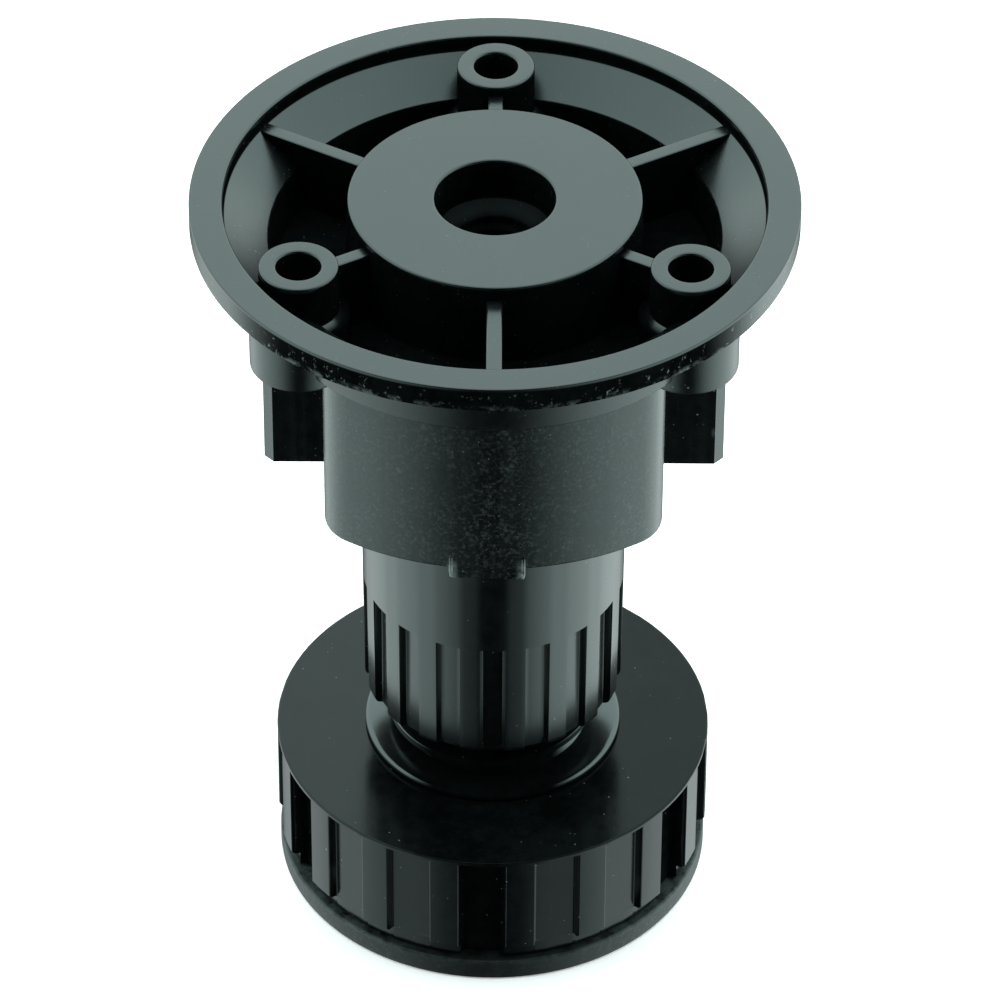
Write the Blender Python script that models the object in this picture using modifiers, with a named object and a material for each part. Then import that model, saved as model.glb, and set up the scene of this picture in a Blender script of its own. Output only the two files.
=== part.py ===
# Plug-in levelling foot for a cabinet, in four moulded black plastic pieces and a sole pad.
#
# The foot stands on z = 0 with its axis on Z. From the top down:
#   mounting_socket   three-hole screw-on flange, hub and square sleeve, one moulding
#   leg_tube          round tube that plugs into the sleeve, fluted at its lower end
#   threaded_spindle  hollow screw that turns in the tube and carries the foot
#   foot_disc         ribbed disc that is turned by hand to set the height
#   sole_pad          ring-shaped pad that stays still on the floor

import math

import bmesh
import bpy
from mathutils import Matrix

MM = 0.001
FULL_TURN = 2 * math.pi
GAP = 0.3                      # clearance between pieces that touch, in mm

# Driving dimensions in millimetres, heights measured down from the flange's top face.
TOTAL_HEIGHT = 113.0
FLANGE_RADIUS = 40.0
FLANGE_EDGE = 3.5              # height of the flange's outer wall
RIM_INNER_RADIUS = 35.6
LIP_DEPTH = 2.0
DISH_RADIUS = 29.6             # foot of the sloping dish, where the pockets drop away
DISH_DEPTH = 6.0
POCKET_DEPTH = 12.0
WALL = 2.2
HUB_RADIUS = 19.3
HUB_FLOOR = 10.2               # underside of the hub, the ceiling of the plug-in bore
CENTRE_BORE_RADIUS = 7.9
CENTRE_BORE_DEPTH = 6.0
CENTRE_HOLE_RADIUS = 5.2
CENTRE_HOLE_DEPTH = 7.2

SCREW_ANGLES = (90, 210, 330)
RIB_ANGLES = (30, 150, 270)
SCREW_CIRCLE_RADIUS = 29.2
SCREW_BOSS_RADIUS = 5.2
SCREW_HOUSING_RADIUS = 6.6     # the wider part of a boss, under the flange
SCREW_HOUSING_BOTTOM = 16.0
SCREW_HOLE_RADIUS = 2.9
SCREW_HEAD_RADIUS = 4.5        # the screw goes in from below, its head up inside the boss
SCREW_HEAD_SEAT = 5.0
RIB_THICKNESS = 2.2
RIB_DROP = 2.0                 # how far a rib's top lies below the flange

SLEEVE_HALF_WIDTH = 22.5
SLEEVE_HALF_DEPTH = 23.4
SLEEVE_FACE_RADIUS = 36.9      # the front and back faces bulge, the sides are flat
SLEEVE_CORNER_RADIUS = 6.0
SLEEVE_BOTTOM = 44.3
SLEEVE_WALL = 2.4
TONGUE_WIDTH = 10.0
TONGUE_DROP = 1.3
TONGUE_ANGLE = -92
FIN_THICKNESS = 3.0
FIN_REACH = 30.9
FIN_BOTTOM = 44.0
GUIDE_RIBS = 8

TUBE_TOP = 10.6
TUBE_TOP_RADIUS = 18.0
TUBE_FOOT_RADIUS = 17.7
TUBE_BORE_RADIUS = 14.75
TUBE_BOTTOM = 82.0
FLUTES = 18
FLUTE_TOP = 63.3
FLUTE_WIDTH = 3.2
FLUTE_DEPTH = 1.1

THREAD_PITCH = 4.0
SCREW_CORE_RADIUS = 12.4
SCREW_CREST_RADIUS = 14.3
NUT_CREST_RADIUS = 12.75
SCREW_TOP = 50.0
NUT_TURNS = 3
SCREW_TURNS = 9
SCREW_BORE_RADIUS = 9.8

COLLAR_RADIUS = 17.7
COLLAR_TOP = 89.9
FOOT_TOP = 91.0
FOOT_RADIUS = 30.0
FOOT_GROOVE_RADIUS = 28.8
FOOT_PLATE = 2.6
FOOT_LIP = 0.7
FOOT_SIDES = 6                 # each sixth has a deep recess and then three grip ribs
FOOT_PHASE = -2.5              # degrees from the front to the first recess
FOOT_RIB_SPACING = 20
FOOT_RIB_ARC = 8.4
FOOT_RECESS_ARC = 12
FOOT_RIB_BOTTOM = 107.2
FOOT_RECESS_RADIUS = 27.6
FOOT_WALL_BOTTOM = 109.4
FOOT_CAVITY_RADIUS = 26.6

SOLE_TOP = 109.7
SOLE_RADIUS = 29.8
SOLE_FLOOR = 110.9
SOLE_HOLE_RADIUS = 6.0

ROUND_STEPS = 72
FACE_STEPS = 8
CORNER_STEPS = 8
FINE_STEPS = 24
THREAD_STEPS = 20

model = bpy.data.collections.new("levelling_foot")
helpers = bpy.data.collections.new("cutters")


def clear_scene():
    for old in list(bpy.data.objects):
        bpy.data.objects.remove(old, do_unlink=True)
    bpy.context.scene.collection.children.link(model)
    bpy.context.scene.collection.children.link(helpers)


def level(depth):
    # Height above the floor of a level given as a depth under the flange.
    return (TOTAL_HEIGHT - depth) * MM


def plastic(name, color, roughness):
    material = bpy.data.materials.new(name)
    material.use_nodes = True
    shader = material.node_tree.nodes["Principled BSDF"]
    shader.inputs["Base Color"].default_value = (*color, 1.0)
    shader.inputs["Roughness"].default_value = roughness
    shader.inputs["Metallic"].default_value = 0.0
    return material


def add_object(name, mesh, collection, material=None):
    thing = bpy.data.objects.new(name, mesh)
    collection.objects.link(thing)
    if material is not None:
        mesh.materials.append(material)
    if collection is helpers:
        thing.display_type = "WIRE"
        thing.hide_render = True
    return thing


def mesh_from(bm, name):
    bmesh.ops.recalc_face_normals(bm, faces=bm.faces)
    mesh = bpy.data.meshes.new(name)
    bm.to_mesh(mesh)
    bm.free()
    return mesh


def turned(name, profile, collection, material=None, steps=ROUND_STEPS):
    # A closed (radius, depth) profile, listed down its outer side, swept round Z.
    mesh = bpy.data.meshes.new(name)
    points = [(radius * MM, 0, level(depth)) for radius, depth in profile]
    edges = [(i, (i + 1) % len(points)) for i in range(len(points))]
    mesh.from_pydata(points, edges, [])
    thing = add_object(name, mesh, collection, material)
    sweep = thing.modifiers.new("turn", "SCREW")
    sweep.steps = steps
    sweep.render_steps = steps
    sweep.use_merge_vertices = True
    sweep.merge_threshold = 0.00001
    return thing


def prism(bm, outline, top, bottom):
    # Raises a flat outline of (x, y) millimetres from one depth to another.
    base = [bm.verts.new((x * MM, y * MM, level(bottom))) for x, y in outline]
    face = bm.faces.new(base)
    lifted = bmesh.ops.extrude_face_region(bm, geom=[face])["geom"]
    corners = [item for item in lifted if isinstance(item, bmesh.types.BMVert)]
    bmesh.ops.translate(bm, verts=corners, vec=(0, 0, (bottom - top) * MM))


def prism_object(name, outlines, top, bottom):
    bm = bmesh.new()
    for outline in outlines:
        prism(bm, outline, top, bottom)
    return add_object(name, mesh_from(bm, name), helpers)


def circle(radius, centre=(0, 0), steps=FINE_STEPS):
    angles = [FULL_TURN * i / steps for i in range(steps)]
    return [(centre[0] + radius * math.cos(a), centre[1] + radius * math.sin(a)) for a in angles]


def sleeve_plan(inset):
    # Right half from the back to the front, then the same points turned round for the left.
    face = SLEEVE_FACE_RADIUS - inset
    corner = SLEEVE_CORNER_RADIUS - inset
    face_centre = SLEEVE_HALF_DEPTH - SLEEVE_FACE_RADIUS
    across = SLEEVE_HALF_WIDTH - SLEEVE_CORNER_RADIUS
    reach = math.sqrt((SLEEVE_FACE_RADIUS - SLEEVE_CORNER_RADIUS) ** 2 - across ** 2)
    lean = math.asin(across / (SLEEVE_FACE_RADIUS - SLEEVE_CORNER_RADIUS))
    quarter = []
    for i in range(FACE_STEPS):
        angle = lean * i / FACE_STEPS
        quarter.append((face * math.sin(angle), face_centre + face * math.cos(angle)))
    for i in range(CORNER_STEPS + 1):
        angle = lean + (math.pi / 2 - lean) * i / CORNER_STEPS
        quarter.append((across + corner * math.sin(angle),
                        face_centre + reach + corner * math.cos(angle)))
    right = quarter + [(x, -y) for x, y in reversed(quarter)]
    left = [(-x, -y) for x, y in right]
    return right[:-1] + left[:-1]


def bar(start, end, width, degrees):
    # A straight bar in plan, from one radius to another along a direction.
    half = width / 2
    corners = [(start, -half), (end, -half), (end, half), (start, half)]
    return [turn_point(point, math.radians(degrees)) for point in corners]


def turn_point(point, angle):
    x, y = point
    return (x * math.cos(angle) - y * math.sin(angle), x * math.sin(angle) + y * math.cos(angle))


def rounded_fin(start, end, width, degrees):
    # A bar whose outer end is a half circle.
    radius = width / 2
    nose = [math.radians(-90 + 180 * i / 8) for i in range(9)]
    outline = [(start, -radius)]
    outline += [(end - radius + radius * math.cos(a), radius * math.sin(a)) for a in nose]
    outline += [(start, radius)]
    return [turn_point(point, math.radians(degrees)) for point in outline]


def upright_webs(name, outline, thickness, angles):
    # Flat webs standing on their edges, from one (radius, depth) outline turned to each angle.
    bm = bmesh.new()
    for degrees in angles:
        side = [bm.verts.new((radius * MM, -thickness / 2 * MM, level(depth)))
                for radius, depth in outline]
        face = bm.faces.new(side)
        pushed = bmesh.ops.extrude_face_region(bm, geom=[face])["geom"]
        far_side = [item for item in pushed if isinstance(item, bmesh.types.BMVert)]
        bmesh.ops.translate(bm, verts=far_side, vec=(0, thickness * MM, 0))
        turn = Matrix.Rotation(math.radians(degrees), 3, "Z")
        bmesh.ops.rotate(bm, verts=side + far_side, cent=(0, 0, 0), matrix=turn)
    return add_object(name, mesh_from(bm, name), helpers)


def sector(inner, outer, middle, width):
    # Plan of a grip rib or a recess: an arc of the foot's rim between two radii.
    arc = [math.radians(middle + width / 2 * step) for step in (-1, 0, 1)]
    outline = [(outer * math.cos(a), outer * math.sin(a)) for a in arc]
    outline += [(inner * math.cos(a), inner * math.sin(a)) for a in reversed(arc)]
    return outline


def combine(target, operand, operation):
    step = target.modifiers.new(operand.name, "BOOLEAN")
    step.operation = operation
    step.solver = "EXACT"
    step.object = operand


def screw_places():
    for degrees in SCREW_ANGLES:
        angle = math.radians(degrees)
        yield (SCREW_CIRCLE_RADIUS * math.cos(angle), SCREW_CIRCLE_RADIUS * math.sin(angle))


def helical_ridge(name, root, crest, first_depth, turns, root_width, crest_width):
    # A trapezoidal ridge climbing a right-hand helix, with its two ends closed.
    bm = bmesh.new()
    section = [(root, -root_width / 2), (crest, -crest_width / 2),
               (crest, crest_width / 2), (root, root_width / 2)]
    rings = []
    for i in range(turns * THREAD_STEPS + 1):
        angle = FULL_TURN * i / THREAD_STEPS
        rise = THREAD_PITCH * i / THREAD_STEPS
        ring = []
        for radius, offset in section:
            place = (radius * MM * math.cos(angle), radius * MM * math.sin(angle),
                     level(first_depth) + (rise + offset) * MM)
            ring.append(bm.verts.new(place))
        rings.append(ring)
    for ring, following in zip(rings, rings[1:]):
        for k in range(4):
            after = (k + 1) % 4
            bm.faces.new((ring[k], ring[after], following[after], following[k]))
    bm.faces.new(rings[0])
    bm.faces.new(rings[-1])
    return add_object(name, mesh_from(bm, name), helpers)


def build_socket(material):
    wall_radius = DISH_RADIUS + WALL - 0.4
    bore = TUBE_TOP_RADIUS + GAP
    profile = [
        (FLANGE_RADIUS - 0.5, 0), (FLANGE_RADIUS, 0.5),
        (FLANGE_RADIUS, FLANGE_EDGE - 0.3), (FLANGE_RADIUS - 0.3, FLANGE_EDGE),
        (FLANGE_RADIUS - 2.4, FLANGE_EDGE), (wall_radius, DISH_DEPTH + WALL - 0.2),
        (wall_radius - 0.4, POCKET_DEPTH + WALL), (bore, POCKET_DEPTH + WALL),
        (bore, HUB_FLOOR), (CENTRE_HOLE_RADIUS, HUB_FLOOR),
        (CENTRE_HOLE_RADIUS, CENTRE_HOLE_DEPTH), (CENTRE_BORE_RADIUS, CENTRE_BORE_DEPTH),
        (CENTRE_BORE_RADIUS, 0),
    ]
    socket = turned("mounting_socket", profile, model, material)

    housings = [circle(SCREW_HOUSING_RADIUS, place, 32) for place in screw_places()]
    combine(socket, prism_object("screw_housings", housings, DISH_DEPTH - 3.0,
                                 SCREW_HOUSING_BOTTOM), "UNION")
    pocket = [
        (RIM_INNER_RADIUS, -1), (RIM_INNER_RADIUS, LIP_DEPTH), (DISH_RADIUS, DISH_DEPTH),
        (DISH_RADIUS - 0.8, POCKET_DEPTH), (HUB_RADIUS + 0.4, POCKET_DEPTH),
        (HUB_RADIUS, 0.3), (HUB_RADIUS - 0.3, 0), (HUB_RADIUS - 0.3, -1),
    ]
    combine(socket, turned("pocket_cut", pocket, helpers), "DIFFERENCE")

    sleeve = prism_object("sleeve_outer", [sleeve_plan(0)],
                          POCKET_DEPTH + WALL / 2, SLEEVE_BOTTOM)
    hollow = prism_object("sleeve_inner", [sleeve_plan(SLEEVE_WALL)],
                          POCKET_DEPTH, SLEEVE_BOTTOM + 1)
    combine(sleeve, hollow, "DIFFERENCE")
    combine(socket, sleeve, "UNION")
    tongue = bar(SLEEVE_HALF_DEPTH - SLEEVE_WALL + 0.2, SLEEVE_HALF_DEPTH - 0.5, TONGUE_WIDTH,
                 TONGUE_ANGLE)
    combine(socket, prism_object("tongue", [tongue], SLEEVE_BOTTOM - 2,
                                 SLEEVE_BOTTOM + TONGUE_DROP), "UNION")
    guides = []
    for i in range(GUIDE_RIBS):
        degrees = 360 * (i + 0.5) / GUIDE_RIBS
        guides.append(bar(bore, SLEEVE_HALF_WIDTH, 2.0, degrees))
    combine(socket, prism_object("guide_ribs", guides, POCKET_DEPTH + WALL / 2,
                                 SLEEVE_BOTTOM - 1.0), "UNION")

    # A main rib's lower edge follows the dish, half a wall deep, out to the rim.
    web = [
        (HUB_RADIUS - 0.5, RIB_DROP), (RIM_INNER_RADIUS + 0.6, RIB_DROP),
        (RIM_INNER_RADIUS + 0.6, LIP_DEPTH + 1), (DISH_RADIUS + 0.8, DISH_DEPTH + 1),
        (DISH_RADIUS, POCKET_DEPTH + 1), (HUB_RADIUS - 0.5, POCKET_DEPTH + 1),
    ]
    combine(socket, upright_webs("main_ribs", web, RIB_THICKNESS, RIB_ANGLES), "UNION")
    short_ribs = [bar(HUB_RADIUS - 0.5, SCREW_CIRCLE_RADIUS - SCREW_HOLE_RADIUS - 1.2,
                      RIB_THICKNESS - 0.1, a) for a in SCREW_ANGLES]
    combine(socket, prism_object("short_ribs", short_ribs, RIB_DROP - 0.5,
                                 POCKET_DEPTH + 0.9), "UNION")
    bosses = [circle(SCREW_BOSS_RADIUS, place, 32) for place in screw_places()]
    combine(socket, prism_object("screw_bosses", bosses, 0.1, POCKET_DEPTH + 1.5), "UNION")

    fins = [rounded_fin(SLEEVE_HALF_WIDTH - SLEEVE_WALL / 2, FIN_REACH, FIN_THICKNESS, a)
            for a in (0, 180)]
    combine(socket, prism_object("side_fins", fins, POCKET_DEPTH + 1.2, FIN_BOTTOM), "UNION")

    holes = [circle(SCREW_HOLE_RADIUS, place) for place in screw_places()]
    heads = [circle(SCREW_HEAD_RADIUS, place) for place in screw_places()]
    combine(socket, prism_object("screw_holes", holes, -1, SCREW_HEAD_SEAT + 1), "DIFFERENCE")
    combine(socket, prism_object("screw_heads", heads, SCREW_HEAD_SEAT,
                                 SCREW_HOUSING_BOTTOM + 1), "DIFFERENCE")
    return socket


def build_leg(material):
    profile = [
        (TUBE_TOP_RADIUS - 0.8, TUBE_TOP), (TUBE_TOP_RADIUS, TUBE_TOP + 0.8),
        (TUBE_TOP_RADIUS, SLEEVE_BOTTOM), (TUBE_FOOT_RADIUS, TUBE_BOTTOM - 1.1),
        (TUBE_FOOT_RADIUS - 0.9, TUBE_BOTTOM), (TUBE_BORE_RADIUS, TUBE_BOTTOM),
        (TUBE_BORE_RADIUS, TUBE_TOP),
    ]
    leg = turned("leg_tube", profile, model, material)
    flutes = []
    for i in range(FLUTES):
        degrees = -90 + 360 * i / FLUTES
        flutes.append(bar(TUBE_FOOT_RADIUS - FLUTE_DEPTH, TUBE_TOP_RADIUS + 1, FLUTE_WIDTH, degrees))
    combine(leg, prism_object("flutes", flutes, FLUTE_TOP, TUBE_BOTTOM + 1), "DIFFERENCE")
    nut = helical_ridge("nut_thread", TUBE_BORE_RADIUS + 0.4, NUT_CREST_RADIUS,
                        TUBE_BOTTOM - THREAD_PITCH / 2, NUT_TURNS, 1.9, 1.2)
    combine(leg, nut, "UNION")
    return leg


def build_spindle(material):
    plate_bottom = FOOT_TOP + FOOT_PLATE
    profile = [
        (SCREW_CORE_RADIUS - 0.8, SCREW_TOP), (SCREW_CORE_RADIUS, SCREW_TOP + 0.8),
        (SCREW_CORE_RADIUS, COLLAR_TOP - 0.5), (SCREW_CORE_RADIUS + 0.5, COLLAR_TOP),
        (COLLAR_RADIUS - 0.3, COLLAR_TOP), (COLLAR_RADIUS, COLLAR_TOP + 0.3),
        (COLLAR_RADIUS, FOOT_TOP - GAP), (SCREW_CORE_RADIUS, FOOT_TOP - GAP),
        (SCREW_CORE_RADIUS, plate_bottom + GAP), (SCREW_CORE_RADIUS + 1.2, plate_bottom + GAP),
        (SCREW_CORE_RADIUS, plate_bottom + 2.4), (SCREW_BORE_RADIUS, plate_bottom + 2.4),
        (SCREW_BORE_RADIUS, SCREW_TOP),
    ]
    spindle = turned("threaded_spindle", profile, model, material, THREAD_STEPS * 2)
    # It starts a whole number and a half of pitches below the nut's, so the two threads mesh.
    start = TUBE_BOTTOM + 2 * THREAD_PITCH
    ridge = helical_ridge("screw_thread", SCREW_CORE_RADIUS - 0.4, SCREW_CREST_RADIUS,
                          start, SCREW_TURNS, 1.9, 1.1)
    combine(spindle, ridge, "UNION")
    return spindle


def build_foot(material):
    plate_bottom = FOOT_TOP + FOOT_PLATE
    hole = SCREW_CORE_RADIUS + GAP
    profile = [
        (hole, FOOT_TOP), (FOOT_RADIUS - 0.3, FOOT_TOP), (FOOT_RADIUS, FOOT_TOP + 0.3),
        (FOOT_RADIUS, FOOT_TOP + FOOT_LIP), (FOOT_GROOVE_RADIUS, FOOT_TOP + FOOT_LIP),
        (FOOT_GROOVE_RADIUS, FOOT_WALL_BOTTOM), (FOOT_CAVITY_RADIUS, FOOT_WALL_BOTTOM),
        (FOOT_CAVITY_RADIUS, plate_bottom), (hole, plate_bottom),
    ]
    foot = turned("foot_disc", profile, model, material)
    ribs = []
    recesses = []
    for side in range(FOOT_SIDES):
        start = -90 + FOOT_PHASE + 360 * side / FOOT_SIDES
        recesses.append(sector(FOOT_RECESS_RADIUS, FOOT_RADIUS + 1, start, FOOT_RECESS_ARC))
        for k in range(3):
            middle = start + (k + 0.5) * FOOT_RIB_SPACING
            ribs.append(sector(FOOT_GROOVE_RADIUS - 0.8, FOOT_RADIUS - 0.05, middle, FOOT_RIB_ARC))
    combine(foot, prism_object("grip_ribs", ribs, FOOT_TOP + FOOT_LIP / 2, FOOT_RIB_BOTTOM), "UNION")
    combine(foot, prism_object("deep_recesses", recesses, FOOT_TOP + FOOT_LIP,
                               FOOT_WALL_BOTTOM + 1), "DIFFERENCE")
    stiffeners = [bar(hole + 2.2, FOOT_CAVITY_RADIUS + 0.6, 1.6, 360 * i / 6) for i in range(6)]
    combine(foot, prism_object("stiffeners", stiffeners, plate_bottom - 0.5, plate_bottom + 8), "UNION")
    return foot


def build_sole(material):
    cavity = FOOT_CAVITY_RADIUS - GAP
    profile = [
        (cavity, SOLE_TOP), (SOLE_RADIUS - 0.3, SOLE_TOP), (SOLE_RADIUS, SOLE_TOP + 0.3),
        (SOLE_RADIUS, TOTAL_HEIGHT - 0.5), (SOLE_RADIUS - 0.5, TOTAL_HEIGHT),
        (SOLE_HOLE_RADIUS, TOTAL_HEIGHT), (SOLE_HOLE_RADIUS, SOLE_FLOOR),
        (cavity - 1.8, SOLE_FLOOR), (cavity - 1.8, SOLE_TOP - 3.5),
        (cavity - 0.4, SOLE_TOP - 3.5), (cavity, SOLE_TOP - 3.1),
    ]
    return turned("sole_pad", profile, model, material)


def shade(thing):
    thing.data.shade_smooth()
    thing.data.set_sharp_from_angle(angle=math.radians(35))


clear_scene()
pieces = [
    build_socket(plastic("socket plastic", (0.028, 0.036, 0.036), 0.42)),
    build_leg(plastic("tube plastic", (0.026, 0.033, 0.033), 0.36)),
    build_spindle(plastic("spindle plastic", (0.012, 0.014, 0.014), 0.45)),
    build_foot(plastic("foot plastic", (0.024, 0.030, 0.030), 0.38)),
    build_sole(plastic("sole elastomer", (0.040, 0.048, 0.046), 0.62)),
]
for piece in pieces:
    shade(piece)
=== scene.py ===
# Looks of the plug-in levelling foot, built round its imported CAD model.
# Lengths in the settings are millimetres; depths are measured down from the flange's top face.

import math

import bmesh
import bpy
from mathutils import Matrix, Vector


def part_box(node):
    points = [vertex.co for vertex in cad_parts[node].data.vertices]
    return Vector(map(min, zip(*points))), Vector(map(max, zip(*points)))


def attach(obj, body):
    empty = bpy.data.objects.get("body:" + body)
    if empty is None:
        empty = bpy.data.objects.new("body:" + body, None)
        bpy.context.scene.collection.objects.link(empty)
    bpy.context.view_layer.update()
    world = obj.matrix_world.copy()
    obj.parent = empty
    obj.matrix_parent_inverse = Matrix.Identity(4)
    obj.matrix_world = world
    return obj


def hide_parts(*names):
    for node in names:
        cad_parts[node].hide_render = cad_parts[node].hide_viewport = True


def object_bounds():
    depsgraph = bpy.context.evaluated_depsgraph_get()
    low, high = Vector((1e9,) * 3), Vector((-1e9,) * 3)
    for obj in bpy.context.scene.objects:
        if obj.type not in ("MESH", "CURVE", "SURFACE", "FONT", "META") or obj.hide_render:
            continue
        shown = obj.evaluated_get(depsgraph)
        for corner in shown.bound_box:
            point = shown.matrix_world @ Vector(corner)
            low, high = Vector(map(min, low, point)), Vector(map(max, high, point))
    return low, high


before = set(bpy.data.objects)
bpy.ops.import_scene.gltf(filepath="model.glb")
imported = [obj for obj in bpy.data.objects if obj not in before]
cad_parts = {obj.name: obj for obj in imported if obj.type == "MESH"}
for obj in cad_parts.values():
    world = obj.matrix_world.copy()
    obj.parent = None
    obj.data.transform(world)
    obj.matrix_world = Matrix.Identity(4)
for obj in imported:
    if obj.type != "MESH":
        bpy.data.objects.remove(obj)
cadLow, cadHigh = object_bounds()
mm = 0.001
topLevel = cadHigh.z


def place(radius, depth):
    return (radius * mm, 0, topLevel - depth * mm)


def roundCorners(corners, steps=4):
    # A closed outline from (radius, depth, fillet) corners, each bent softly over its fillet.
    outline = []
    for i, (radius, depth, fillet) in enumerate(corners):
        corner = Vector((radius, depth))
        if fillet == 0:
            outline.append(corner)
            continue
        arms = []
        for other in (corners[i - 1], corners[(i + 1) % len(corners)]):
            arm = Vector(other[:2]) - corner
            arms.append(corner + arm.normalized() * min(fillet, arm.length * 0.48))
        for k in range(steps + 1):
            t = k / steps
            outline.append(arms[0] * (1 - t) ** 2 + corner * 2 * t * (1 - t) + arms[1] * t * t)
    return outline


def grown(bm, before):
    return [vert for vert in bm.verts if vert not in before]


def turn(bm, corners, steps, softSteps=4):
    # Sweeps a closed outline once round the axis.
    before = set(bm.verts)
    outline = roundCorners(corners, softSteps)
    loop = [bm.verts.new(place(point.x, point.y)) for point in outline]
    edges = [bm.edges.new(pair) for pair in zip(loop, loop[1:] + loop[:1])]
    bmesh.ops.spin(bm, geom=loop + edges, cent=(0, 0, 0), axis=(0, 0, 1), dvec=(0, 0, 0),
                   angle=math.tau, steps=steps, use_merge=True, use_duplicate=False)
    return grown(bm, before)


def reshape(verts, change):
    # change(angle, radius, depth) gives each vertex its new angle and radius.
    for vert in verts:
        angle = math.atan2(vert.co.y, vert.co.x)
        radius = math.hypot(vert.co.x, vert.co.y) / mm
        angle, radius = change(angle, radius, (topLevel - vert.co.z) / mm)
        vert.co.x = radius * mm * math.cos(angle)
        vert.co.y = radius * mm * math.sin(angle)


def grooveSection(halfWidth, soft):
    # One period of a grooved wall from a groove's middle: (place in the period, share of the depth).
    side = [(0, 1), (halfWidth * 0.5, 1), (halfWidth - soft * 2, 1), (halfWidth - soft, 0.93),
            (halfWidth - soft * 0.4, 0.7), (halfWidth + soft * 0.4, 0.3),
            (halfWidth + soft, 0.07), (halfWidth + soft * 2, 0), (0.25 + halfWidth * 0.5, 0)]
    return side + [(1 - along, share) for along, share in reversed(side[1:])]


def grooveWall(verts, count, section, phase, topDepth, bottomDepth, floorRadius, wallRadius):
    # Sinks grooves into a swept wall, and gathers its vertices at the grooves' sides.
    total = count * len(section)

    def change(angle, radius, depth):
        index = round(angle / math.tau * total) % total
        along, share = section[index % len(section)]
        angle = phase + math.tau * (index // len(section) + along) / count
        if topDepth < depth < bottomDepth:
            radius = min(radius, wallRadius - (wallRadius - floorRadius) * share)
        return angle, radius

    reshape(verts, change)


def addBar(bm, size, centre, degrees, soft):
    # A box with soft edges; centre is (radius, side, depth) before it is turned about the axis.
    before = set(bm.verts)
    bmesh.ops.create_cube(bm, size=1)
    verts = grown(bm, before)
    bmesh.ops.scale(bm, verts=verts, vec=Vector(size) * mm)
    edges = list({edge for vert in verts for edge in vert.link_edges})
    bmesh.ops.bevel(bm, geom=edges, offset=soft * mm, offset_type="OFFSET", segments=3,
                    profile=0.5, affect="EDGES", material=-1, clamp_overlap=True)
    verts = grown(bm, before)
    radius, side, depth = centre
    bmesh.ops.translate(bm, verts=verts, vec=(radius * mm, side * mm, topLevel - depth * mm))
    turnAbout(bm, verts, degrees)
    return verts


def addWeb(bm, outline, thickness, degrees, soft):
    # A flat web on its edge from a (radius, depth) outline, its upper edges softened.
    before = set(bm.verts)
    side = [bm.verts.new(place(radius, depth)) for radius, depth in outline]
    face = bm.faces.new(side)
    pushed = bmesh.ops.extrude_face_region(bm, geom=[face])["geom"]
    far = [item for item in pushed if isinstance(item, bmesh.types.BMVert)]
    bmesh.ops.translate(bm, verts=far, vec=(0, thickness * mm, 0))
    verts = grown(bm, before)
    bmesh.ops.translate(bm, verts=verts, vec=(0, -thickness / 2 * mm, 0))
    crown = max(vert.co.z for vert in verts) - 0.01 * mm
    edges = {edge for vert in verts for edge in vert.link_edges}
    upper = [edge for edge in edges if min(vert.co.z for vert in edge.verts) > crown]
    bmesh.ops.bevel(bm, geom=upper, offset=soft * mm, offset_type="OFFSET", segments=3,
                    profile=0.5, affect="EDGES", material=-1, clamp_overlap=True)
    verts = grown(bm, before)
    turnAbout(bm, verts, degrees)
    return verts


def addFin(bm, start, end, thickness, top, bottom, degrees, soft):
    # A standing fin whose outer edge is chamfered on both sides.
    before = set(bm.verts)
    half = thickness / 2
    chamfer = half * 0.83
    plan = [(start, -half), (end - chamfer, -half), (end, chamfer - half),
            (end, half - chamfer), (end - chamfer, half), (start, half)]
    base = [bm.verts.new((x * mm, y * mm, topLevel - bottom * mm)) for x, y in plan]
    face = bm.faces.new(base)
    pushed = bmesh.ops.extrude_face_region(bm, geom=[face])["geom"]
    far = [item for item in pushed if isinstance(item, bmesh.types.BMVert)]
    bmesh.ops.translate(bm, verts=far, vec=(0, 0, (bottom - top) * mm))
    lower = [edge for edge in bm.edges if edge.verts[0] in base and edge.verts[1] in base]
    bmesh.ops.bevel(bm, geom=lower, offset=soft * mm, offset_type="OFFSET", segments=3,
                    profile=0.5, affect="EDGES", material=-1, clamp_overlap=True)
    verts = grown(bm, before)
    turnAbout(bm, verts, degrees)
    return verts


def turnAbout(bm, verts, degrees):
    spin = Matrix.Rotation(math.radians(degrees), 3, "Z")
    bmesh.ops.rotate(bm, verts=verts, cent=(0, 0, 0), matrix=spin)


def addThread(bm, section, firstDepth, pitch, turns, steps):
    # A ridge climbing a right-hand helix from a closed (radius, rise) section, capped at both ends.
    before = set(bm.verts)
    loop = [bm.verts.new((radius * mm, 0, topLevel + (rise - firstDepth) * mm))
            for radius, rise in section]
    edges = [bm.edges.new(pair) for pair in zip(loop, loop[1:] + loop[:1])]
    bmesh.ops.spin(bm, geom=loop + edges, cent=(0, 0, 0), axis=(0, 0, 1),
                   dvec=(0, 0, pitch * mm / steps), angle=math.tau * turns,
                   steps=int(turns * steps), use_merge=False, use_duplicate=False)
    verts = grown(bm, before)
    openEdges = list({edge for vert in verts for edge in vert.link_edges if edge.is_boundary})
    bmesh.ops.holes_fill(bm, edges=openEdges, sides=0)
    return verts


def addPiece(name, bm, material):
    bmesh.ops.recalc_face_normals(bm, faces=bm.faces)
    mesh = bpy.data.meshes.new(name)
    bm.to_mesh(mesh)
    bm.free()
    mesh.materials.append(material)
    piece = bpy.data.objects.new(name, mesh)
    bpy.context.scene.collection.objects.link(piece)
    return piece


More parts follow.
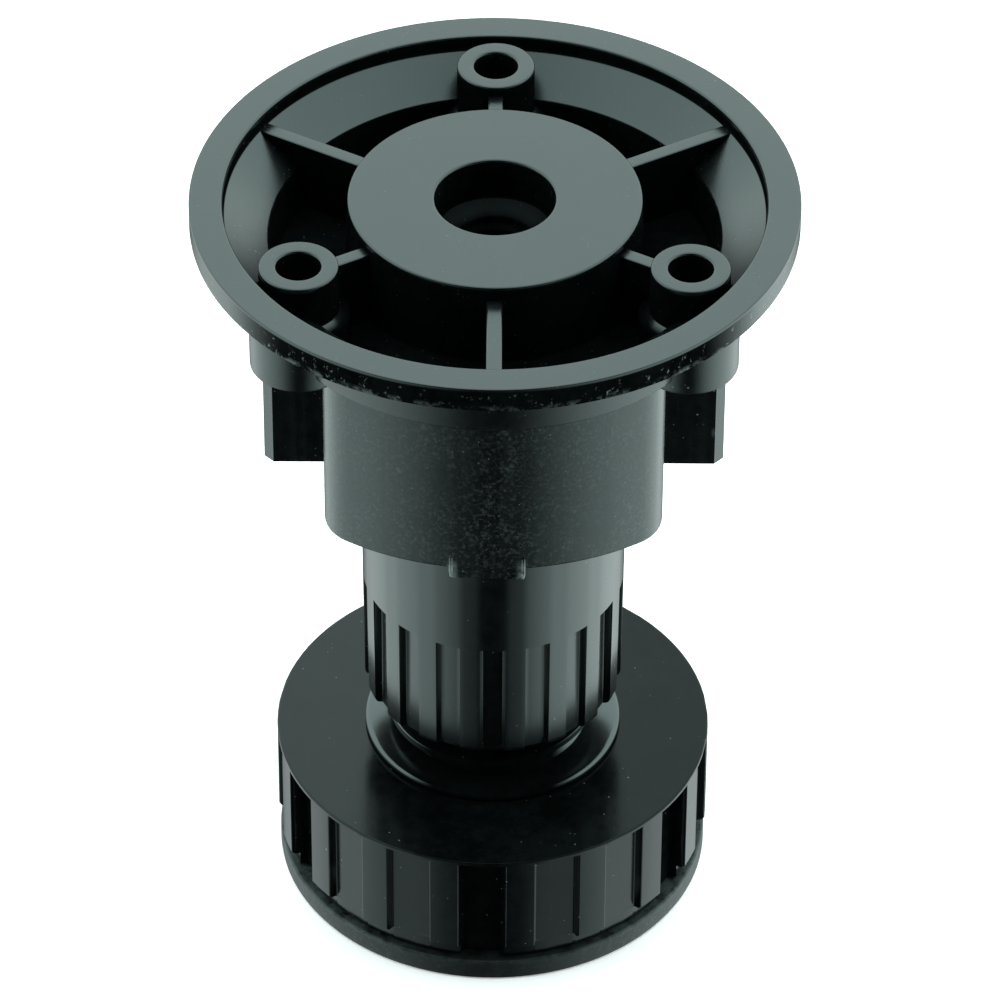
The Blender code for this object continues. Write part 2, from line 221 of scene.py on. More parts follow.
def finishPiece(piece, body, node):
    piece.data.shade_smooth()
    piece.data.set_sharp_from_angle(angle=math.radians(40))
    even = piece.modifiers.new("evenShading", "WEIGHTED_NORMAL")
    even.mode = "FACE_AREA"
    even.weight = 60
    even.keep_sharp = True
    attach(piece, body)
    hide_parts(node)
    print(piece.name, "ready:", len(piece.data.polygons), "faces")


class Wire:
    # A shader socket that takes part in plain arithmetic.
    def __init__(self, bench, socket):
        self.bench = bench
        self.socket = socket

    def calc(self, operation, first, second):
        return self.bench.add("ShaderNodeMath", {0: first, 1: second}, operation=operation)["Value"]

    def __add__(self, other):
        return self.calc("ADD", self, other)

    def __radd__(self, other):
        return self.calc("ADD", other, self)

    def __sub__(self, other):
        return self.calc("SUBTRACT", self, other)

    def __rsub__(self, other):
        return self.calc("SUBTRACT", other, self)

    def __mul__(self, other):
        return self.calc("MULTIPLY", self, other)

    def __rmul__(self, other):
        return self.calc("MULTIPLY", other, self)

    def __pow__(self, other):
        return self.calc("POWER", self, other)

    def __abs__(self):
        return self.calc("ABSOLUTE", self, 0.0)

    def __lt__(self, other):
        return self.calc("LESS_THAN", self, other)


class Made:
    # A node just added; its outputs come back as wires.
    def __init__(self, bench, node):
        self.bench = bench
        self.node = node

    def __getitem__(self, name):
        return Wire(self.bench, self.node.outputs[name])


class Bench:
    # The node tree of one material or of the world.
    def __init__(self, owner):
        owner.use_nodes = True
        self.tree = owner.node_tree
        self.coords = None

    def add(self, kind, values=None, **settings):
        node = self.tree.nodes.new(kind)
        for name, value in settings.items():
            setattr(node, name, value)
        for name, value in (values or {}).items():
            if isinstance(value, Wire):
                self.tree.links.new(value.socket, node.inputs[name])
            else:
                node.inputs[name].default_value = value
        return Made(self, node)

    def mapped(self, scale):
        # Object coordinates in metres, times a scale for each axis.
        if self.coords is None:
            self.coords = self.add("ShaderNodeTexCoord")["Object"]
        return self.add("ShaderNodeMapping", {"Vector": self.coords, "Scale": scale})["Vector"]

    def noise(self, scale, detail=3.0, rough=0.55):
        return self.add("ShaderNodeTexNoise", {"Vector": self.mapped(scale), "Scale": 1.0,
                                               "Detail": detail, "Roughness": rough})["Fac"]

    def ramp(self, value, low, high, start=0.0, end=1.0):
        return self.add("ShaderNodeMapRange", {"Value": value, "From Min": low, "From Max": high,
                                               "To Min": start, "To Max": end},
                        interpolation_type="SMOOTHSTEP")["Result"]

    def blend(self, share, first, second):
        # Inputs 6 and 7 and output 2 are a Mix node's colours.
        made = self.add("ShaderNodeMix", {"Factor": share, 6: first, 7: second},
                        data_type="RGBA", blend_type="MIX")
        return Wire(self, made.node.outputs[2])

    def specks(self, cells, size, share):
        # Small round spots: one in a chosen share of the cells of a loose grid.
        made = self.add("ShaderNodeTexVoronoi", {"Vector": self.mapped(cells), "Scale": 1.0},
                        feature="F1")
        chance = self.add("ShaderNodeSeparateColor", {"Color": made["Color"]})["Red"]
        return self.ramp(made["Distance"], size, size * 0.45) * (chance < share)

    def facing(self):
        # Upward share of the surface's own direction: 1 on a top, 0 on a wall, -1 underneath.
        around = self.add("ShaderNodeTexCoord")["Normal"]
        return self.add("ShaderNodeSeparateXYZ", {"Vector": around})["Z"]

    def reach(self):
        # Distance from the axis, depth under the flange's top face, and X and Y, in millimetres.
        split = self.add("ShaderNodeSeparateXYZ", {"Vector": self.mapped((1 / mm, 1 / mm, 1 / mm))})
        across = split["X"] * split["X"] + split["Y"] * split["Y"]
        return across ** 0.5, topLevel / mm - split["Z"], split["X"], split["Y"]


plasticLook = {
    "deep": (0.0012, 0.0016, 0.0017, 1),
    "lit": (0.0030, 0.0040, 0.0041, 1),
    "dust": (0.130, 0.165, 0.160, 1),
    "tint": (0.80, 1.0, 0.98, 1),
}


def makePlastic(name, dustiness):
    # A material with its bench, and the patterns that every plastic here shares.
    material = bpy.data.materials.new(name)
    bench = Bench(material)
    cloud = bench.noise((90, 90, 90), 4.0)
    mottle = bench.noise((520, 520, 520), 4.0, 0.65)
    fine = bench.specks((1500, 1500, 1500), 0.24, 0.10 * dustiness)
    coarse = bench.specks((480, 480, 480), 0.10, 0.10 * dustiness)
    patches = bench.ramp(cloud, 0.35, 0.62, 0.25, 1.0)
    skin = {
        "mottle": mottle,
        "grain": bench.noise((2600, 2600, 2600), 2.0),
        "dust": bench.ramp(fine * 0.55 + coarse * 0.9, 0.0, 1.0) * patches,
        "tone": bench.ramp(cloud * 0.5 + mottle * 0.5, 0.36, 0.64),
    }
    return material, bench, skin


def finishPlastic(bench, look, skin, extraRough, paintedShade=None):
    shader = bench.tree.nodes["Principled BSDF"]
    dust = skin["dust"]
    color = bench.blend(skin["tone"], plasticLook["deep"], plasticLook["lit"])
    color = bench.blend(dust, color, plasticLook["dust"])
    rough = extraRough + look["roughness"] + dust * 0.2
    relief = bench.add("ShaderNodeBump", {"Strength": look["bump"], "Distance": 0.06 * mm,
                                          "Height": skin["grain"] + dust * 1.5})["Normal"]
    bench.tree.links.new(color.socket, shader.inputs["Base Color"])
    bench.tree.links.new(rough.socket, shader.inputs["Roughness"])
    bench.tree.links.new(relief.socket, shader.inputs["Normal"])
    shader.inputs["Specular IOR Level"].default_value = look["specular"]
    shader.inputs["Specular Tint"].default_value = plasticLook["tint"]
    shader.inputs["IOR"].default_value = 1.5
    if paintedShade is not None:
        # Painted shade: where the mask is set, the surface turns to a matt skin with no specular, so it
        # shows black as if it lay in shadow.
        matt = bench.add("ShaderNodeBsdfPrincipled", {"Base Color": color, "Roughness": 1.0,
                                                      "Specular IOR Level": 0.0, "Normal": relief})
        mixed = bench.add("ShaderNodeMixShader", {0: paintedShade, 1: Wire(bench, shader.outputs["BSDF"]),
                                                  2: matt["BSDF"]})
        surface = bench.tree.nodes["Material Output"].inputs["Surface"]
        bench.tree.links.new(mixed["Shader"].socket, surface)


socketSettings = {
    "edgeHeight": 3.5, "rimInner": 35.6, "lipDepth": 2.0,
    "dishRadius": 29.6, "dishDepth": 6.0, "pocketDepth": 12.0, "wall": 2.2,
    "hubRadius": 19.3, "hubFloor": 10.2, "plugBore": 18.3,
    "boreRadius": 7.9, "boreDepth": 6.0, "holeRadius": 5.2, "holeDepth": 7.2,
    "screwAngles": (90, 210, 330), "ribAngles": (30, 150, 270), "screwCircle": 29.2,
    "bossRadius": 5.2, "housingRadius": 6.6, "housingBottom": 16.0,
    "screwHole": 2.9, "headHole": 4.5, "headSeat": 5.0, "clearHole": 4.85,
    "ribThickness": 2.2, "ribDrop": 2.0, "shortDrop": 1.5,
    "sleeveHalf": 22.5, "sleeveDepth": 23.4, "faceRadius": 36.9, "cornerRadius": 6.0,
    "sleeveWall": 2.4, "sleeveBottom": 44.3,
    "tongueWidth": 10.0, "tongueDrop": 1.3, "tongueTurn": -92, "tongueWall": 1.9,
    "flashSize": (0.7, 0.5, 3.0), "guideWidth": 2.0,
    "finThickness": 3.0, "finReach": 30.9, "finBottom": 44.0,
    "guideRibs": 8, "steps": 216,
}


def squareUp(s):
    # Bends a round sleeve to its plan: flat sides, gently curved front and back, round corners.
    centre = s["sleeveDepth"] - s["faceRadius"]
    across = s["sleeveHalf"] - s["cornerRadius"]
    lean = math.asin(across / (s["faceRadius"] - s["cornerRadius"]))
    along = centre + across / math.tan(lean)

    def farSide(way, middle, radius):
        # Distance from the axis, along a way, to the far side of a circle.
        near = way.dot(middle)
        return near + math.sqrt(near ** 2 - middle.length_squared + radius ** 2)

    def change(angle, radius, depth):
        inset = s["sleeveHalf"] - radius
        face = s["faceRadius"] - inset
        way = Vector((abs(math.cos(angle)), abs(math.sin(angle))))
        if way.y * radius < way.x * along:
            return angle, radius / way.x
        if way.x * (centre + face * math.cos(lean)) < way.y * face * math.sin(lean):
            return angle, farSide(way, Vector((0, centre)), face)
        return angle, farSide(way, Vector((across, along)), s["cornerRadius"] - inset)

    return change


def buildFlange(s, radius):
    # Rim, dish, pockets and hub in one swept body, with the ways through for the screws.
    wallRadius = s["dishRadius"] + s["wall"] - 0.4
    under = s["pocketDepth"] + s["wall"]
    bm = bmesh.new()
    turn(bm, [
        (radius, 0, 0.22), (radius, s["edgeHeight"], 0.3),
        (radius - 2.4, s["edgeHeight"], 0.5), (wallRadius, s["dishDepth"] + s["wall"] - 0.2, 0.9),
        (wallRadius - 0.4, under, 0.5), (s["plugBore"], under, 0.2),
        (s["plugBore"], s["hubFloor"], 0.3), (s["holeRadius"] - 0.9, s["hubFloor"], 0.2),
        (s["holeRadius"] - 0.9, s["holeDepth"] + 1.4, 0.2), (s["holeRadius"], s["holeDepth"] + 1.1, 0.2),
        (s["holeRadius"], s["holeDepth"], 0.25), (s["boreRadius"], s["boreDepth"], 0.3),
        (s["boreRadius"], 0, 0.4), (s["hubRadius"], 0, 0.35),
        (s["hubRadius"] + 0.4, s["pocketDepth"], 0.5), (s["dishRadius"] - 0.8, s["pocketDepth"], 0.5),
        (s["dishRadius"], s["dishDepth"], 0.35), (s["rimInner"], s["lipDepth"], 0.35),
        (s["rimInner"], 0, 0.35),
    ], s["steps"])
    flange = addPiece("flangeBody", bm, socketPlastic)
    bm = bmesh.new()
    for degrees in s["screwAngles"]:
        before = set(bm.verts)
        bmesh.ops.create_cone(bm, cap_ends=True, segments=48, radius1=s["clearHole"] * mm,
                              radius2=s["clearHole"] * mm, depth=40 * mm)
        verts = grown(bm, before)
        bmesh.ops.translate(bm, verts=verts, vec=(s["screwCircle"] * mm, 0, topLevel))
        turnAbout(bm, verts, degrees)
    drill = addPiece("screwWays", bm, socketPlastic)
    cut = flange.modifiers.new("screwWays", "BOOLEAN")
    cut.operation = "DIFFERENCE"
    cut.solver = "EXACT"
    cut.object = drill
    mesh = bpy.data.meshes.new_from_object(flange.evaluated_get(bpy.context.evaluated_depsgraph_get()))
    bpy.data.objects.remove(flange)
    bpy.data.objects.remove(drill)
    return mesh


def buildSocket(s):
    low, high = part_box("mounting_socket")
    bm = bmesh.new()
    bm.from_mesh(buildFlange(s, (high.x - low.x) / 2 / mm))
    # The soft square sleeve hangs from the underside of the pockets.
    shell = turn(bm, [
        (s["sleeveHalf"], s["pocketDepth"] + 1.1, 0), (s["sleeveHalf"], s["sleeveBottom"], 0.8),
        (s["sleeveHalf"] - s["sleeveWall"], s["sleeveBottom"], 0.6),
        (s["sleeveHalf"] - s["sleeveWall"], s["pocketDepth"] + 1.1, 0),
    ], s["steps"], 6)
    squared = squareUp(s)
    reshape(shell, squared)
    tongueDepth = (s["sleeveBottom"] - 1 + s["sleeveBottom"] + s["tongueDrop"]) / 2
    addBar(bm, (s["tongueWall"], s["tongueWidth"], s["tongueDrop"] + 2.0),
           (s["sleeveDepth"] - 1.4, 0, tongueDepth), s["tongueTurn"], 0.35)
    for side in (-1, 1):
        # Small ridges of flash stand at the tongue's two ends.
        addBar(bm, s["flashSize"], (s["sleeveDepth"] - 0.45, side * (s["tongueWidth"] / 2 - 0.2),
                                    s["sleeveBottom"] - 0.6), s["tongueTurn"], 0.2)
    guideTop = s["pocketDepth"] + 1.1
    guideBottom = s["sleeveBottom"] - 1.0
    for i in range(s["guideRibs"]):
        degrees = 360 * (i + 0.5) / s["guideRibs"]
        bend = squared(math.radians(degrees), s["sleeveHalf"] - 1.2, 0)[1]
        addBar(bm, (bend - s["plugBore"], s["guideWidth"], guideBottom - guideTop),
               ((bend + s["plugBore"]) / 2, 0, (guideTop + guideBottom) / 2), degrees, 0.3)
    web = [
        (s["hubRadius"] - 0.5, s["ribDrop"]), (s["rimInner"] + 0.6, s["ribDrop"]),
        (s["rimInner"] + 0.6, s["lipDepth"] + 1), (s["dishRadius"] + 0.8, s["dishDepth"] + 1),
        (s["dishRadius"], s["pocketDepth"] + 1), (s["hubRadius"] - 0.5, s["pocketDepth"] + 1),
    ]
    for degrees in s["ribAngles"]:
        addWeb(bm, web, s["ribThickness"], degrees, 0.3)
    shortEnd = s["screwCircle"] - s["screwHole"] - 1.0
    shortWeb = [
        (s["hubRadius"] - 0.5, s["shortDrop"]), (shortEnd, s["shortDrop"]),
        (shortEnd, s["pocketDepth"] + 1), (s["hubRadius"] - 0.5, s["pocketDepth"] + 1),
    ]
    for degrees in s["screwAngles"]:
        addWeb(bm, shortWeb, s["ribThickness"] - 0.1, degrees, 0.3)
        boss = turn(bm, [
            (s["bossRadius"], 0.1, 0.35), (s["bossRadius"], 6.6, 0.2),
            (s["housingRadius"], 7.6, 0.3), (s["housingRadius"], s["housingBottom"], 0.5),
            (s["headHole"], s["housingBottom"], 0.4), (s["headHole"], s["headSeat"], 0.2),
            (s["screwHole"], s["headSeat"], 0.2), (s["screwHole"], 0.1, 0.4),
        ], 72)
        bmesh.ops.translate(bm, verts=boss, vec=(s["screwCircle"] * mm, 0, 0))
        turnAbout(bm, boss, degrees)
    for degrees in (0, 180):
        addFin(bm, s["sleeveHalf"] - 1.2, s["finReach"], s["finThickness"],
               s["pocketDepth"] + 1.2, s["finBottom"], degrees, 0.35)
    return addPiece("socketMoulding", bm, socketPlastic)


tubeSettings = {
    "topRadius": 18.0, "footRadius": 17.7, "bore": 14.75, "top": 10.6, "bottom": 82.0,
    "sleeveBottom": 44.3, "flutes": 18, "fluteTop": 63.3, "fluteFloor": 16.7,
    "fluteHalf": 0.262, "fluteSoft": 0.018, "phase": -90.0,
    "nutCrest": 12.75, "pitch": 4.0, "nutTurns": 3,
}


def buildTube(s):
    section = grooveSection(s["fluteHalf"], s["fluteSoft"])
    bm = bmesh.new()
    wall = turn(bm, [
        (s["topRadius"], s["top"], 0.8), (s["topRadius"], s["sleeveBottom"], 0),
        (s["topRadius"] - 0.15, s["fluteTop"] - 0.25, 0), (s["topRadius"] - 0.15, s["fluteTop"] - 0.08, 0),
        (s["topRadius"] - 0.15, s["fluteTop"] + 0.02, 0), (s["topRadius"] - 0.15, s["fluteTop"] + 0.3, 0),
        (s["footRadius"], s["bottom"], 1.0), (s["bore"], s["bottom"], 0.5),
        (s["bore"], s["top"], 0.5),
    ], s["flutes"] * len(section))
    grooveWall(wall, s["flutes"], section, math.radians(s["phase"]), s["fluteTop"],
               s["bottom"] + 1, s["fluteFloor"], s["topRadius"])
    addThread(bm, [(s["bore"] + 0.4, -0.95), (s["nutCrest"] + 0.15, -0.66), (s["nutCrest"], -0.5),
                   (s["nutCrest"], 0.5), (s["nutCrest"] + 0.15, 0.66), (s["bore"] + 0.4, 0.95)],
              s["bottom"] - s["pitch"] / 2, s["pitch"], s["nutTurns"], 90)
    return addPiece("plugInTube", bm, tubePlastic)


spindleSettings = {
    "core": 12.4, "crest": 14.3, "bore": 9.8, "top": 50.0, "pitch": 4.0, "turns": 9,
    "firstDepth": 90.0, "collar": 17.7, "collarTop": 89.9, "collarBottom": 90.7,
    "plateBottom": 93.9, "bottom": 96.0,
}


def buildSpindle(s):
    bm = bmesh.new()
    turn(bm, [
        (s["core"], s["top"], 0.8), (s["core"], s["collarTop"] - 0.5, 0.2),
        (s["core"] + 0.5, s["collarTop"], 0.2), (s["collar"], s["collarTop"], 0.75),
        (s["collar"], s["collarBottom"], 0.2), (s["core"], s["collarBottom"], 0.1),
        (s["core"], s["plateBottom"], 0.1), (s["core"] + 1.2, s["plateBottom"], 0.2),
        (s["core"], s["bottom"], 0.3), (s["bore"], s["bottom"], 0.4), (s["bore"], s["top"], 0.5),
    ], 144)
    addThread(bm, [(s["core"] - 0.4, -0.95), (s["crest"] - 0.15, -0.62), (s["crest"], -0.45),
                   (s["crest"], 0.45), (s["crest"] - 0.15, 0.62), (s["core"] - 0.4, 0.95)],
              s["firstDepth"], s["pitch"], s["turns"], 90)
    return addPiece("screwSpindle", bm, spindlePlastic)


footSettings = {
    "top": 91.0, "radius": 30.0, "groove": 28.8, "recess": 27.6, "lip": 0.7, "ribBottom": 107.2,
    "wallBottom": 109.4, "cavity": 26.6, "plate": 2.6, "hole": 12.7,
    "sides": 6, "grooveArc": 11.6, "ribSpacing": 20, "soft": 0.35, "phase": -92.5,
    "stiffeners": 6, "stiffenerDepth": 8.0,
}


def footSection(s):
    # One sixth of the rim: a deep recess, then three grip ribs between shallow grooves.
    sixth = 360 / s["sides"]
    half = s["grooveArc"] / 2
    soft = s["soft"]
    rows = [(0, s["recess"]), (half * 0.5, s["recess"])]
    edges = [(half, s["recess"], s["radius"]),
             (s["ribSpacing"] - half, s["radius"], s["groove"]),
             (s["ribSpacing"] + half, s["groove"], s["radius"])]
    shares = ((-1.6, 0), (-0.7, 0.07), (-0.25, 0.3), (0.25, 0.7), (0.7, 0.93), (1.6, 1))
    for middle, near, far in edges:
        rows += [(middle + soft * step, near + (far - near) * share) for step, share in shares]
        if middle < s["ribSpacing"]:
            rows.append((middle + (s["ribSpacing"] - half * 2) / 2, far))
    rows.append((sixth / 2, s["radius"]))
    rows += [(sixth - along, radius) for along, radius in reversed(rows[1:-1])]
    return [(along / sixth, radius) for along, radius in rows]


def buildFoot(s):
    section = footSection(s)
    plateBottom = s["top"] + s["plate"]
    bm = bmesh.new()
    wall = turn(bm, [
        (s["radius"], s["top"], 0.3), (s["radius"], s["top"] + s["lip"] - 0.1, 0),
        (s["radius"], s["top"] + s["lip"] + 0.02, 0),
        (s["radius"], s["ribBottom"] - 0.35, 0), (s["radius"] - 0.35, s["ribBottom"], 0),
        (s["groove"], s["ribBottom"] + 0.05, 0), (s["groove"], s["wallBottom"], 0.3),
        (s["cavity"], s["wallBottom"], 0.4), (s["cavity"], plateBottom, 0.8),
        (s["hole"], plateBottom, 0.3), (s["hole"], s["top"], 0.2),
    ], s["sides"] * len(section))
    total = s["sides"] * len(section)

    def carve(angle, radius, depth):
        index = round(angle / math.tau * total) % total
        along, reach = section[index % len(section)]
        angle = math.radians(s["phase"]) + math.tau * (index // len(section) + along) / s["sides"]
        if depth > s["top"] + s["lip"] and radius > s["recess"]:
            radius = min(radius, reach)
        return angle, radius

    reshape(wall, carve)
    for i in range(s["stiffeners"]):
        start = s["hole"] + 2.2
        end = s["cavity"] + 0.6
        addBar(bm, (end - start, 1.6, s["stiffenerDepth"] + 0.5),
               ((start + end) / 2, 0, plateBottom + s["stiffenerDepth"] / 2 - 0.25),
               360 * i / s["stiffeners"], 0.3)
    return addPiece("footMoulding", bm, footPlastic)


soleSettings = {
    "top": 109.7, "radius": 29.8, "floor": 110.9, "hole": 6.0, "ring": 26.3, "ringWall": 1.8,
    "ringTop": 106.2, "bottom": 113.0,
}


def buildSole(s):
    bm = bmesh.new()
    turn(bm, [
        (s["ring"], s["top"], 0.2), (s["radius"], s["top"], 0.45),
        (s["radius"], s["bottom"], 0.7), (s["hole"], s["bottom"], 0.4),
        (s["hole"], s["floor"], 0.4), (s["ring"] - s["ringWall"], s["floor"], 0.5),
        (s["ring"] - s["ringWall"], s["ringTop"], 0.3), (s["ring"], s["ringTop"], 0.4),
    ], 180)
    return addPiece("solePad", bm, soleRubber)


socketLook = {
    "dustiness": 1.0, "roughness": 0.20, "specular": 0.5, "bump": 0.12,
    "crumbs": 0.45, "scuffs": 0.3, "powder": 0.22, "rubs": 0.6, "flash": 0.8,
    "edgeBand": (38.6, 39.4), "sleeveStart": (13.0, 16.0), "tongueShift": 0.8,
    # The next line bounds the painted shade in the pockets and the bore, and sets its strength in the
    # bore.
    "rimEnd": (35.95, 35.7), "dishEnd": (29.8, 30.1), "boreEnd": (8.3, 8.1), "boreDull": 0.94,
}


def makeSocketPlastic(s):
    material, bench, skin = makePlastic("socketPlastic", s["dustiness"])
    radius, depth, x, y = bench.reach()
    mottle = skin["mottle"]
    # Crumbs of flash and pale rub marks gather on the flange's edge.
    onEdge = bench.ramp(radius, *s["edgeBand"]) * bench.ramp(depth, 0.5, 1.2)
    crumbs = bench.ramp(bench.noise((1300, 1300, 900), 3.0, 0.7), 0.60, 0.74) * onEdge
    ragged = bench.ramp(bench.noise((420, 420, 420), 4.0, 0.7), 0.47, 0.62)
    crumbs = crumbs + bench.ramp(depth, 2.4, 3.3) * ragged * onEdge * 0.5
    # The sleeve has upright draw streaks, a few scuffs, and a powdery bloom in patches.
    onSleeve = bench.ramp(depth, *s["sleeveStart"])
    streak = bench.ramp(bench.noise((560, 560, 14), 2.0), 0.42, 0.66) * onSleeve
    scuff = bench.specks((340, 340, 130), 0.16, 0.10) * onSleeve
    powder = bench.ramp(bench.noise((1900, 1900, 1900), 3.0, 0.7), 0.46, 0.72) * onSleeve
    powder = powder * bench.ramp(bench.noise((150, 150, 110), 3.0, 0.6), 0.34, 0.62, 0.3, 1.0)
    powder = powder * bench.ramp(abs(x), 23.5, 22.6)     # keeps it off the fins
    rub = bench.ramp(bench.noise((260, 260, 180), 4.0, 0.75), 0.64, 0.76) * onSleeve
    # The moulding's flash is pale at both ends of the tongue.
    aside = abs(x + s["tongueShift"])
    flash = bench.ramp(depth, 42.4, 44.0) * bench.ramp(aside, 3.6, 4.6) * bench.ramp(aside, 5.6, 4.8)
    flash = flash * (y < 0) * bench.ramp(mottle, 0.38, 0.52)
    dust = skin["dust"] * (0.35 + onSleeve * 0.65) + crumbs * s["crumbs"] + scuff * s["scuffs"]
    skin["dust"] = dust + powder * s["powder"] + rub * powder * s["rubs"] + flash * s["flash"]
    # Painted shade: the steep walls inside the rim, all that lies deep in the pockets, and the bore turn
    # black.
    up = bench.facing()
    steep = bench.ramp(up, 0.78, 0.60) * bench.ramp(up, -0.7, -0.4)
    low = bench.ramp(depth, 6.6, 7.4)
    within = bench.ramp(radius, *s["rimEnd"]) * bench.ramp(depth, 0.3, 0.9) * bench.ramp(depth, 14.0, 12.6)
    within = within * (1 - bench.ramp(radius, *s["dishEnd"]) * bench.ramp(depth, 6.1, 6.6))
    hollow = within * (1 - (1 - steep) * (1 - low))
    bore = bench.ramp(radius, *s["boreEnd"]) * bench.ramp(depth, 0.7, 1.3) * s["boreDull"]
    hollow = 1 - (1 - hollow) * (1 - bore)
    # Painted shade on the flange's outer wall too, most of all at the front and where no crumbs are.
    outerWall = bench.ramp(radius, 39.4, 39.8) * bench.ramp(depth, 0.15, 0.5) * bench.ramp(up, 0.5, 0.2)
    flank = (1 - bench.ramp(y, -20, -30)) * 0.9
    paintedShade = hollow + outerWall * (1 - flank) * (1 - crumbs)
    finishPlastic(bench, s, skin, mottle * 0.10 + streak * 0.05, paintedShade)
    return material


tubeLook = {"dustiness": 0.35, "roughness": 0.17, "specular": 0.5, "bump": 0.05}


def makeTubePlastic(s):
    material, bench, skin = makePlastic("tubePlastic", s["dustiness"])
    drawn = bench.noise((560, 560, 14), 2.0)
    finishPlastic(bench, s, skin, skin["mottle"] * 0.06 + drawn * 0.03)
    return material


spindleLook = {
    "dustiness": 0.1, "roughness": 0.16, "specular": 0.6, "bump": 0.05,
    # The next line bounds the painted shade on the front of the collar.
    "greaseAcross": (12.5, 8.0), "greaseAlong": (-6.0, -9.0),
}


def makeSpindlePlastic(s):
    # Painted shade: the front of the collar turns black, so that only its two sides catch the light.
    material, bench, skin = makePlastic("spindlePlastic", s["dustiness"])
    radius, depth, x, y = bench.reach()
    collarShade = bench.ramp(abs(x), *s["greaseAcross"]) * bench.ramp(y, *s["greaseAlong"])
    finishPlastic(bench, s, skin, skin["mottle"] * 0.08, collarShade)
    return material


footLook = {
    "dustiness": 0.5, "roughness": 0.11, "specular": 0.17, "bump": 0.08,
    # These bound the painted shade in the recesses and on the top face, and set its strength at the top
    # face's right and front.
    "recessOuter": (28.6, 28.2), "recessInner": (26.9, 27.3), "rimDepth": (91.5, 91.9),
    "topDepth": (91.3, 91.1), "rightDull": 0.4, "frontDull": 0.5,
}


def makeFootPlastic(s):
    # Painted shade: the deep recesses turn black, and the top face partly so at its right and front.
    material, bench, skin = makePlastic("footPlastic", s["dustiness"])
    radius, depth, x, y = bench.reach()
    recess = bench.ramp(radius, *s["recessOuter"]) * bench.ramp(radius, *s["recessInner"])
    recess = recess * bench.ramp(depth, *s["rimDepth"])
    topShade = bench.ramp(x, -4, 22) * s["rightDull"] + bench.ramp(abs(x), 15, 9) * (y < 0) * s["frontDull"]
    paintedShade = recess + bench.ramp(depth, *s["topDepth"]) * topShade
    finishPlastic(bench, s, skin, skin["mottle"] * 0.12, paintedShade)
    return material


soleLook = {
    "dustiness": 1.0, "roughness": 0.38, "specular": 0.22, "bump": 0.3,
    "crumbs": 0.16, "edgeCrumbs": 0.25, "edgeDepth": (110.3, 109.9),
}


def makeSoleRubber(s):
    # Pale crumbs lie on the sides of the sole, most of all along its upper edge.
    material, bench, skin = makePlastic("soleRubber", s["dustiness"])
    radius, depth, x, y = bench.reach()
    mottle = skin["mottle"]
    atSide = bench.ramp(abs(x), 6.0, 22.0, 0.25, 1.0)
    crumbs = bench.ramp(bench.noise((1500, 1500, 1500), 3.0, 0.7), 0.50, 0.70) * atSide * s["crumbs"]
    edge = bench.ramp(depth, *s["edgeDepth"]) * bench.ramp(mottle, 0.3, 0.6) * atSide * s["edgeCrumbs"]
    skin["dust"] = skin["dust"] * 0.5 + crumbs + edge
    finishPlastic(bench, s, skin, mottle * 0.15)
    return material


stageSettings = {
    "distance": 890.67, "elevation": 40.024, "aimAcross": 0.725, "aimShare": 0.5433,
    "roll": 0.308, "lens": 237.1,
    "floorHalf": 2.4, "floorColor": (0.86, 0.86, 0.86, 1), "floorRoughness": 0.9,
    "floorGlow": 0.25,         # lifts the floor to the pale backdrop round the foot
}


def buildFloor(s):
    bm = bmesh.new()
    bmesh.ops.create_grid(bm, x_segments=1, y_segments=1, size=s["floorHalf"])
    material = bpy.data.materials.new("paleFloor")
    bench = Bench(material)
    shader = bench.tree.nodes["Principled BSDF"]
    shader.inputs["Base Color"].default_value = s["floorColor"]
    shader.inputs["Roughness"].default_value = s["floorRoughness"]
    shader.inputs["Specular IOR Level"].default_value = 0.1
    shader.inputs["Emission Color"].default_value = (1, 1, 1, 1)
    shader.inputs["Emission Strength"].default_value = s["floorGlow"]
    floor = addPiece("floor", bm, material)
    floor.visible_glossy = False
    floor.visible_diffuse = False
    floor.visible_shadow = False
    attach(floor, "sole")     # so the floor stays under the sole at every pose


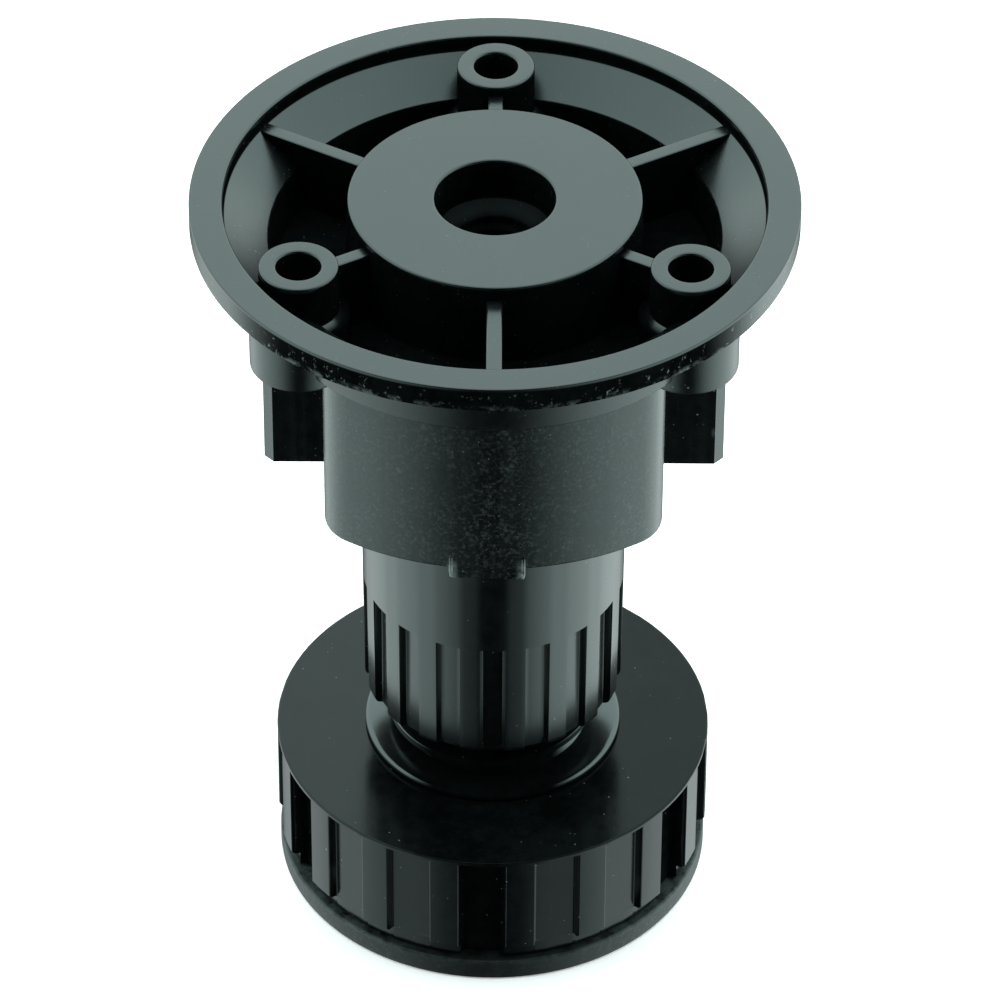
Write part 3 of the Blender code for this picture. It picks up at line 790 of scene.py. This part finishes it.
def buildCamera(s):
    camera = bpy.data.cameras.new("camera")
    camera.lens = s["lens"]
    camera.sensor_width = 36
    camera.sensor_fit = "HORIZONTAL"
    viewer = bpy.data.objects.new("camera", camera)
    bpy.context.scene.collection.objects.link(viewer)
    tilt = math.radians(s["elevation"])
    aim = Vector((s["aimAcross"] * mm, 0, cadLow.z + (cadHigh.z - cadLow.z) * s["aimShare"]))
    eye = aim + Vector((0, -math.cos(tilt), math.sin(tilt))) * s["distance"] * mm
    viewer.matrix_world = (Matrix.Translation(eye) @ Matrix.Rotation(math.pi / 2 - tilt, 4, "X")
                           @ Matrix.Rotation(math.radians(s["roll"]), 4, "Z"))
    bpy.context.scene.camera = viewer


glowSettings = {
    "color": (0.88, 1.0, 0.985, 1), "above": 3.1, "aboveFade": (-0.45, -0.2),
    "roofRise": (0.02, 0.4),
    "left": 2.4, "right": 2.9, "sideFade": (0.10, 0.84), "sideTop": (0.45, -0.05),
}


def buildGlow(s):
    # A studio tent: bright overhead and at both sides, dark in front and low down.
    world = bpy.data.worlds.new("studioTent")
    bpy.context.scene.world = world
    bench = Bench(world)
    background = bench.tree.nodes["Background"]
    background.inputs["Color"].default_value = s["color"]
    direction = bench.add("ShaderNodeTexCoord")["Generated"]
    split = bench.add("ShaderNodeSeparateXYZ", {"Vector": direction})
    roof = bench.ramp(split["Z"], *s["roofRise"]) * bench.ramp(split["Y"], *s["aboveFade"]) * s["above"]
    near, far = s["sideFade"]
    right = bench.ramp(split["X"], near, far) * s["right"]
    left = bench.ramp(split["X"], -near, -far) * s["left"]
    walls = (right + left) * bench.ramp(split["Z"], *s["sideTop"])
    bench.tree.links.new((roof + walls).socket, background.inputs["Strength"])
    bpy.context.scene.view_settings.view_transform = "Standard"


socketPlastic = makeSocketPlastic(socketLook)
tubePlastic = makeTubePlastic(tubeLook)
spindlePlastic = makeSpindlePlastic(spindleLook)
footPlastic = makeFootPlastic(footLook)
soleRubber = makeSoleRubber(soleLook)
print("materials ready")

finishPiece(buildSocket(socketSettings), "socket", "mounting_socket")
finishPiece(buildTube(tubeSettings), "leg", "leg_tube")
finishPiece(buildSpindle(spindleSettings), "foot", "threaded_spindle")
finishPiece(buildFoot(footSettings), "foot", "foot_disc")
finishPiece(buildSole(soleSettings), "sole", "sole_pad")

buildFloor(stageSettings)
buildCamera(stageSettings)
buildGlow(glowSettings)
print("stage ready")
